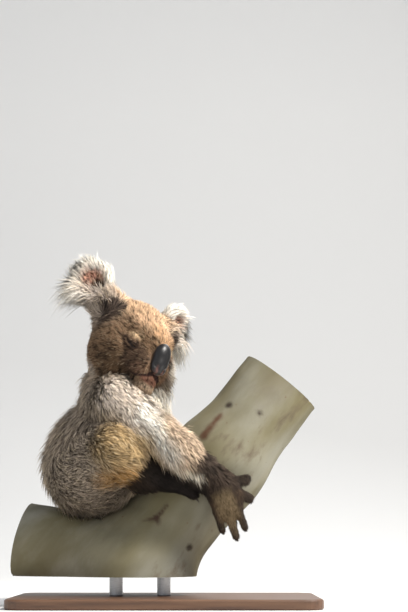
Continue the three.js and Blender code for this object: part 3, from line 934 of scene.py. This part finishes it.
# ---- skin piece ----
SKIN_SHADE = 0.72  # painted shade: the skin is darkened where it shows between the tufts
skin_tint = tinted(skin_v) * SKIN_SHADE
skin_tint = lerp(skin_tint, srgb(26, 18, 16), column(clamp(1 - SLITS(skin_v) / 1.2)))
skin_tint = lerp(skin_tint, srgb(44, 28, 26), column(clamp(1.4 - LIPS(skin_v) / 2.4)))
skin = make_mesh("skin", skin_v, skin_t, skin_tint)
bpy.context.view_layer.objects.active = skin
skin.select_set(True)
skin.data.uv_layers.new(name="OFBake")
bpy.ops.object.mode_set(mode="EDIT")
bpy.ops.mesh.select_all(action="SELECT")
bpy.ops.uv.smart_project(angle_limit=math.radians(66), island_margin=0.002)
bpy.ops.object.mode_set(mode="OBJECT")
skin_uv = np.empty(len(skin.data.loops) * 2, dtype=np.float32)
skin.data.uv_layers["OFBake"].data.foreach_get("uv", skin_uv)
skin_uv = skin_uv.reshape(-1, 3, 2)
finish_piece(skin, skin_material, "coat", *BY_NAME)


# ---- the coat ----
def regional(attribute):
    return np.array([getattr(r, attribute) for r in regions], dtype=float)


def share_of(w, *names):
    """How much of each place belongs to the named regions."""
    return sum(w[:, list(BY_NAME).index(name)] for name in names)


SHARE = 1.0
DENSITY = regional("density") / 100 * SHARE
WOOL_DENSITY, WOOL_LENGTH, WOOL_LIFT = 0.45, 0.7, 1.2  # for each mm2, and times those of the guard hairs
WOOL = np.array([0 if r.fine or r.name.startswith("ear") else WOOL_DENSITY for r in regions]) * SHARE
NOSE_AT = in_head(93, 0, -1.5)
guard, under = (scattered(lambda p, count=count: region_weights(p, 4.0) @ count) for count in (DENSITY, WOOL))
chosen, corner_weights = (np.concatenate(pair) for pair in zip(guard, under))
wool = np.arange(len(chosen)) >= len(guard[0])
root = mixed(skin_v, chosen, corner_weights)
n = unit(mixed(skin_n, chosen, corner_weights))
uv = (skin_uv[chosen] * corner_weights[..., None]).sum(axis=1)
w = region_weights(root)
bare = (SLITS(root) < 2.4) | (LIPS(root) < 2.5) | (fork(root) < -2)
bare |= egg(NOSE_AT, [14, 17.5, 29.5], HEAD)(root) < 0.5
root, n, uv, w, wool = (a[~bare] for a in (root, n, uv, w, wool))

# The order of the random draws is: spread, length, width, lift, shade, grizzle.
spread = column(rng.normal(0, 0.16, len(root)))
lie = lie_of_coat(root, n, w)
lie = unit(lie * np.cos(spread) + np.cross(n, lie) * np.sin(spread))
length = w @ regional("length") * np.clip(rng.normal(1, 0.18, len(root)), 0.5, 1.5)
length *= np.where(wool, WOOL_LENGTH, 1)
width = w @ regional("width") * rng.uniform(0.75, 1.25, len(root)) * 1.0
lift = np.radians(w @ regional("lift") * np.clip(rng.normal(1, 0.2, len(root)), 0.4, 1.6))
lift *= np.where(wool, WOOL_LIFT, 1)
droop = np.full(len(root), 0.15)
whiten = np.zeros(len(root))
for side, s in SIDES.items():  # the long pale fringe round each ear, and its hollow
    centre, axes = ear_frame(s)
    q = (root - centre) @ axes.T
    on_ear = share_of(w, f"ear_{side}")
    stalk, reach = ear_stalk(s), centre - ear_stalk(s)
    along = (root - stalk) @ reach / (reach @ reach)
    rim = clamp((np.hypot(q[:, 1], q[:, 2]) - 18) / 10) * on_ear * clamp((along - 0.5) / 0.25)
    outer, low = clamp(s * q[:, 1] / 20 + 0.5), clamp((centre - root)[:, 2] / 22)
    hollow = on_ear * (1 - rim) * (q[:, 0] > -8)
    length *= 1 + rim * (0.8 + 0.4 * outer + 2.4 * outer * low)
    length *= 1 - hollow * np.where(q[:, 2] < -12, -0.7, 0.4)
    droop += rim * (0.2 + 1.4 * outer * low)
    whiten += 0.88 * rim
chin = clamp(0.5 - head_egg(88, 0, -42, [24, 24, 16])(root) / 6)
length *= 1 - 0.5 * chin
ruff = clamp(0.5 - RUFF(root) / 24) * share_of(w, "head")
length *= 1 + 1.7 * ruff
droop += 0.5 * ruff
clump = noise(root - 0.5 * column((root * lie).sum(axis=1)) * lie, 5.5, 51)
length *= 1 + 0.25 * clump
lift *= 1 + 0.5 * clump
upper_limbs = [f"{limb}_{side}" for limb in ("upper_arm", "forearm") for side in SIDES]
hanging = clamp(-n[:, 2] - 0.25) * share_of(w, *upper_limbs)
length *= 1 + 1.1 * hanging
droop += 1.2 * hanging

colour = lerp(tinted(root), WHITE, column(whiten))
colour *= column(np.clip(rng.normal(1, 0.24, len(root)) + 0.22 * clump, 0.35, 1.9))
colour = lerp(colour, srgb(36, 27, 23), column(0.95 * clamp(1.6 - SLITS(root) / 4.2)))
grizzle = column(rng.random(len(root)))
paws = column(share_of(w, *(f"{kind}_{side}" for kind, side in PAWS)))
bright = colour.mean(axis=1, keepdims=True)
pale_tip = (grizzle > 0.88 + 0.07 * column(share_of(w, "head"))) & (paws < 0.3) & (bright > 0.06)
colour = np.where(grizzle < 0.12, colour * 0.5, np.where(pale_tip, lerp(colour, CREAM, 0.4), colour))

MOST_TRIANGLES = 198000  # of one piece of the coat
fine = w @ regional("fine") > 0.5
for label, mask_of, faces in (("coat_body", ~fine & ~wool, CURVED_FACES), ("coat_wool", wool, SPIKE_FACES),
                              ("coat_short", fine & ~wool, SPIKE_FACES)):
    members = np.flatnonzero(mask_of)
    members = members[np.argsort(root[members, 2], kind="stable")]
    count = max(1, -(-len(members) * len(faces) // MOST_TRIANGLES))
    for i, part in enumerate(np.array_split(members, count)):
        values = (a[part] for a in (root, n, lie, length, width, lift, droop, colour, uv))
        piece = make_mesh(f"{label}_{i + 1}", *tuft_mesh(*values, faces is SPIKE_FACES))
        finish_piece(piece, coat_material, "coat")
        print(piece.name, len(part), len(part) * len(faces))

# ---- nose, eyes, claws ----
NOSE_LEAN, NOSE_STEP = -9, 1.3  # degrees and mm
nose_up = turned(HEAD[2], HEAD[1], NOSE_LEAN)
NOSE_AXES = frame_of(np.cross(HEAD[1], nose_up), nose_up)


def in_nose(*xyz):
    return place(NOSE_AT, NOSE_AXES, xyz)


def nose_field(p):
    d = blend(
        9,
        egg(in_nose(0, 0, 6), [11.5, 14.5, 20.5], NOSE_AXES),
        egg(in_nose(0.5, 0, -13), [11, 13.8, 13], NOSE_AXES),
    )(p)
    for s in SIDES.values():
        bends = [in_nose(11, s * 5, -20), in_nose(9.5, s * 10, -15), in_nose(5, s * 14.5, -11)]
        d = carved(d, union(capsules(bends, [3.2, 3.4, 2.0]))(p), 2.5)
    groove = cone(in_nose(13.5, 0, -12), in_nose(9, 0, -27), 1.4, 1.6)
    return carved(d, groove(p), 2)


nose_v, nose_t = surface(nose_field, NOSE_AT - 34, NOSE_AT + 34, NOSE_STEP)
_, across, up = ((nose_v - NOSE_AT) @ NOSE_AXES.T).T
across = np.abs(across)
pink = 0.4 * clamp((-up - 14) / 6) * clamp((5 - np.abs(across - 6)) / 4) * clamp(0.6 + noise(nose_v, 5, 61))
slit = clamp(1.2 - np.abs(across - 4.5 - 0.25 * (up + 24)) / 1.6)
slit = 0.6 * slit * clamp((-up - 10) / 5) * clamp((up + 27) / 4)
nose_tint = lerp(srgb(22, 21, 22), srgb(104, 66, 58), column(pink))
nose_tint = lerp(nose_tint, srgb(104, 68, 60), column(slit))
nose = make_mesh("nose_pad", nose_v, nose_t, nose_tint)
finish_piece(nose, tint_material("nose_skin", 0.38, 0.4, 0.25), "nose_skin", "nose")

BALL_INSET = 1.5  # mm that the eyeball stays behind its lids
eye_material = speckled_material("eye", 0.12, 300, 3, (0.3, srgb(16, 11, 9)), (0.7, srgb(28, 19, 15)))
for side, s in SIDES.items():
    bpy.ops.mesh.primitive_uv_sphere_add(segments=32, ring_count=16, radius=(EYE_RADIUS - BALL_INSET) * MM,
                                         location=eye_centre(s) * MM)
    ball = bpy.context.object
    ball.name = f"eyeball_{side}"
    bpy.ops.object.transform_apply(location=True)
    bpy.ops.object.shade_smooth()
    finish_piece(ball, eye_material, "eye", f"eye_{side}")

CLAW_LENGTH, CLAW_ROOT, CLAW_BEND, CLAW_INSET = 25, 4.2, math.radians(62), 5
CLAW_RINGS, CLAW_SIDES = 14, 16
CLAW_DIP = {"1": 24, "2": 24, "3": 6, "4": 6, "5": 6}  # degrees, on the hands only
claw_material = speckled_material("claw", 0.38, 160, 5, (0.35, srgb(32, 27, 25)), (0.7, srgb(66, 58, 51)))


def claw_mesh(tip, along, down, dip):
    """A bent, tapered claw that grows out of a fingertip: vertices and triangles."""
    axes = frame_of(along * math.cos(dip) + down * math.sin(dip), -down)
    rings, sides = CLAW_RINGS, CLAW_SIDES
    radius = CLAW_LENGTH / CLAW_BEND
    start = tip - along * CLAW_INSET
    v = []
    for i in range(rings + 1):
        a = CLAW_BEND * i / rings
        centre = place(start, axes, [radius * math.sin(a), 0, radius * (math.cos(a) - 1) + 1.5])
        r = CLAW_ROOT * (1 - 0.93 * (i / rings) ** 1.4)
        out = place(vec(0, 0, 0), axes, [math.sin(a), 0, math.cos(a)])
        t = np.linspace(0, 2 * math.pi, sides, endpoint=False)
        v.append(centre + 0.72 * r * column(np.cos(t)) * axes[1] + r * column(np.sin(t)) * out)
    v = np.concatenate(v + [centre[None]])
    tris = []
    for i in range(rings):
        for j in range(sides):
            a, b = i * sides + j, i * sides + (j + 1) % sides
            tris += [(a, b, b + sides), (a, b + sides, a + sides)]
    end = rings * sides
    tris += [(end + j, end + (j + 1) % sides, len(v) - 1) for j in range(sides)]
    return v, tris


for (kind, side), (_, axes, digits) in PAWS.items():
    for name, (_, tip, along, _) in digits.items():
        if kind == "foot" and name == "1":  # the inner toe has no claw
            continue
        dip = math.radians(CLAW_DIP[name] if kind == "hand" else 0)
        claw = make_mesh(f"horn_{kind}_{side}_{name}", *claw_mesh(tip, along, -axes[2], dip))
        finish_piece(claw, claw_material, "claw_horn", f"claw_{kind}_{side}_{name}")


# ---- bark, board and rods ----
BARK_LEAN, BARK_STRETCH = math.radians(-51.4), 2.6  # the bark's grain runs along the rising limb
bark_material, tree, shader = material("bark", roughness=0.8, specular=0.25)
where = object_place(tree)
along = mapped(tree, where, kind="TEXTURE", Rotation=(0, BARK_LEAN, 0), Scale=(BARK_STRETCH, 1, 1))
# painted shade: the bark's greys and olive are darker than the gum's own pale cream-grey, as of a fork lying
# in shadow
pale = ramp(tree, noise_node(tree, along, 14, 6),
            [(0.3, srgb(94, 90, 71)), (0.5, srgb(118, 113, 93)), (0.7, srgb(148, 145, 130))])
plates = mask(tree, noise_node(tree, along, 9, 8, 0.6), 0.6, 0.66)
olive = mask(tree, noise_node(tree, along, 5, 3), 0.4, 0.65, 0.75)
cool = mask(tree, noise_node(tree, along, 3.4, 3), 0.48, 0.6, 0.45)
spots = mask(tree, noise_node(tree, where, 75, 3), 0.70, 0.76)
bark = mix(tree, "MIX", olive, pale, srgb(108, 98, 60))
bark = mix(tree, "MIX", cool, bark, srgb(128, 132, 132))
bark = mix(tree, "MIX", plates, bark, srgb(92, 80, 66))
bark = mix(tree, "MULTIPLY", 1.0, bark, painted(tree))
bark = mix(tree, "MIX", spots, bark, srgb(104, 84, 66))
tree.links.new(bark, shader.inputs["Base Color"])
bump(tree, shader, noise_node(tree, along, 60, 8, 0.6), 0.5, 0.002)


def sawn_material(name, centre, axis):
    """End grain with rings around an axis."""
    m, tree, shader = material(f"sawn_{name}", roughness=0.7, specular=0.25)
    where = object_place(tree)
    turn = Vector((0, 0, 1)).rotation_difference(Vector(axis)).to_euler()
    rings = tree.nodes.new("ShaderNodeTexWave")
    rings.wave_type = "RINGS"
    rings.rings_direction = "Z"
    for socket, value in (("Scale", 46), ("Distortion", 5), ("Detail", 4), ("Detail Scale", 1.4)):
        rings.inputs[socket].default_value = value
    tree.links.new(mapped(tree, where, kind="TEXTURE", Location=centre * MM, Rotation=turn),
                   rings.inputs["Vector"])
    grain = ramp(tree, rings.outputs["Fac"],
                 [(0.0, srgb(118, 90, 68)), (0.45, srgb(146, 116, 89)), (1.0, srgb(158, 129, 100))])
    stain = mask(tree, noise_node(tree, where, 22, 5), 0.42, 0.7, 0.7)
    tree.links.new(mix(tree, "MIX", stain, grain, srgb(118, 92, 70)), shader.inputs["Base Color"])
    return m


MARKED_BARK = srgb(150, 142, 120)  # the tint is a factor on the bark, so marks are told over this colour
BARK_MARKS = [  # shape, colour, softness in mm
    (cone(vec(85, -34, 298), vec(60, -43, 266), 4, 7), srgb(104, 74, 56), 7),
    (egg(vec(100, -30, 315), [6, 8, 5]), srgb(70, 58, 48), 5),
    (egg(vec(148, -44, 301), [4, 8, 4]), srgb(74, 60, 48), 4),
    (egg(vec(37, -34, 92), [5, 9, 5]), srgb(70, 58, 46), 4),
    (cone(vec(2, -46, 156), vec(-14, -47, 138), 2, 4), srgb(92, 70, 62), 5),
    (cone(vec(-14, -47, 138), vec(-34, -45, 132), 4, 2), srgb(92, 70, 62), 5),
    (cone(vec(-14, -47, 138), vec(-10, -47, 118), 4, 2), srgb(92, 70, 62), 5),
    (cone(vec(-40, 99, 150), vec(30, 96, 190), 3, 6), srgb(112, 84, 64), 8),
    (egg(vec(120, 88, 262), [14, 10, 6]), srgb(84, 66, 52), 6),
    (egg(vec(178, -14, 352), [70, 30, 26], frame_of(RISE, UP)), srgb(150, 140, 124), 26),
]
perch_tint = np.ones_like(perch_v)
for shape, tone, soft in BARK_MARKS:
    d = shape(perch_v) + 0.25 * soft * (noise(perch_v, 14, 41) + noise(perch_v, 6, 42))
    perch_tint = lerp(perch_tint, tone / MARKED_BARK, column(clamp(0.5 - d / soft)))
perch = make_mesh("perch_fork", perch_v, perch_t, perch_tint)
finish_piece(perch, bark_material, "bark", "perch")
perch.data.set_sharp_from_angle(angle=math.radians(50))
slot_of_face = np.zeros(len(perch_t), dtype=np.int32)
for i, (name, (point, out, centre)) in enumerate(SAWN.items()):
    perch.data.materials.append(sawn_material(name, centre, out))
    slot_of_face[(np.abs((perch_v - point) @ out) < 0.1)[perch_t].all(axis=1)] = i + 1
perch.data.polygons.foreach_set("material_index", slot_of_face)

board_material, tree, shader = material("board", roughness=0.45)
grain = noise_node(tree, mapped(tree, object_place(tree), Scale=(0.6, 9, 9)), 9, 8, 0.62)
wood = ramp(tree, grain, [(0.3, srgb(72, 50, 37)), (0.5, srgb(94, 67, 49)), (0.72, srgb(110, 81, 60))])
tree.links.new(wood, shader.inputs["Base Color"])
rod_material, tree, shader = material("rod", metallic=1.0)
scratch = noise_node(tree, mapped(tree, object_place(tree), Scale=(1, 1, 30)), 60, 4)
for socket, low, high in (("Base Color", 0.42, 0.6), ("Roughness", 0.26, 0.4)):
    tree.links.new(ramp(tree, scratch, [(0.3, (low,) * 3), (0.7, (high,) * 3)]), shader.inputs[socket])
for name, mat in (("base", board_material), ("rod_1", rod_material), ("rod_2", rod_material)):
    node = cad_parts[f"stand_{name}"]
    node.data.materials.clear()
    node.data.materials.append(mat)

# ---- floor, light and camera ----
FLOOR_FRONT, FLOOR_BACK, COVE, WALL_TOP, HALF_WIDTH = -4.0, 1.4, 1.6, 6.0, 6.0  # m
profile = [(FLOOR_FRONT, 0.0), (FLOOR_BACK, 0.0)]
profile += [(FLOOR_BACK + COVE * math.sin(a), COVE - COVE * math.cos(a))
            for a in np.radians(np.arange(6, 91, 6))]
profile.append((FLOOR_BACK + COVE, WALL_TOP))
sheet = np.array([(x, y, z) for y, z in profile for x in (-HALF_WIDTH, HALF_WIDTH)]) / MM
faces = []
for i in range(len(profile) - 1):
    a = 2 * i
    faces += [(a, a + 1, a + 3), (a, a + 3, a + 2)]
floor = make_mesh("floor", sheet, faces)
floor_material, _, _ = material("paper", (0.78, 0.78, 0.77), 0.9, specular=0.1)
floor.data.materials.append(floor_material)


def facing(at, aim):
    return (Vector(aim) - Vector(at)).to_track_quat("-Z", "Y").to_euler()


def area_light(name, at, aim, size, power, colour=(1, 1, 1)):
    data = bpy.data.lights.new(name, "AREA")
    data.size, data.energy, data.color = size, power, colour
    light = bpy.data.objects.new(name, data)
    bpy.context.scene.collection.objects.link(light)
    light.location = at
    light.rotation_euler = facing(at, aim)


area_light("key", (1.3, -0.9, 2.0), (0, 0, 0.35), 0.5, 112, (1, 0.965, 0.91))
area_light("fill", (-1.9, -1.8, 1.0), (0, 0, 0.3), 1.6, 9, (0.93, 0.96, 1))
area_light("rim", (0.6, 1.2, 1.6), (0, 0, 0.35), 0.8, 20)
world = bpy.data.worlds.new("studio")
bpy.context.scene.world = world
world.use_nodes = True
sky = world.node_tree.nodes["Background"]
sky.inputs["Color"].default_value = (0.9, 0.93, 1, 1)
sky.inputs["Strength"].default_value = 0.42

CAMERA_AT, CAMERA_AIM, VIEW_ANGLE = (0.06, -2.5, 0.11), (0.06, 0, 0.478), math.radians(22.2)
camera = bpy.data.cameras.new("camera")
camera.sensor_fit = "VERTICAL"
camera.sensor_height = 24
camera.lens = camera.sensor_height / 2 / math.tan(VIEW_ANGLE / 2)
eye = bpy.data.objects.new("camera", camera)
bpy.context.scene.collection.objects.link(eye)
eye.location = CAMERA_AT
eye.rotation_euler = facing(CAMERA_AT, CAMERA_AIM)
bpy.context.scene.camera = eye
bpy.context.scene.view_settings.view_transform = "Standard"
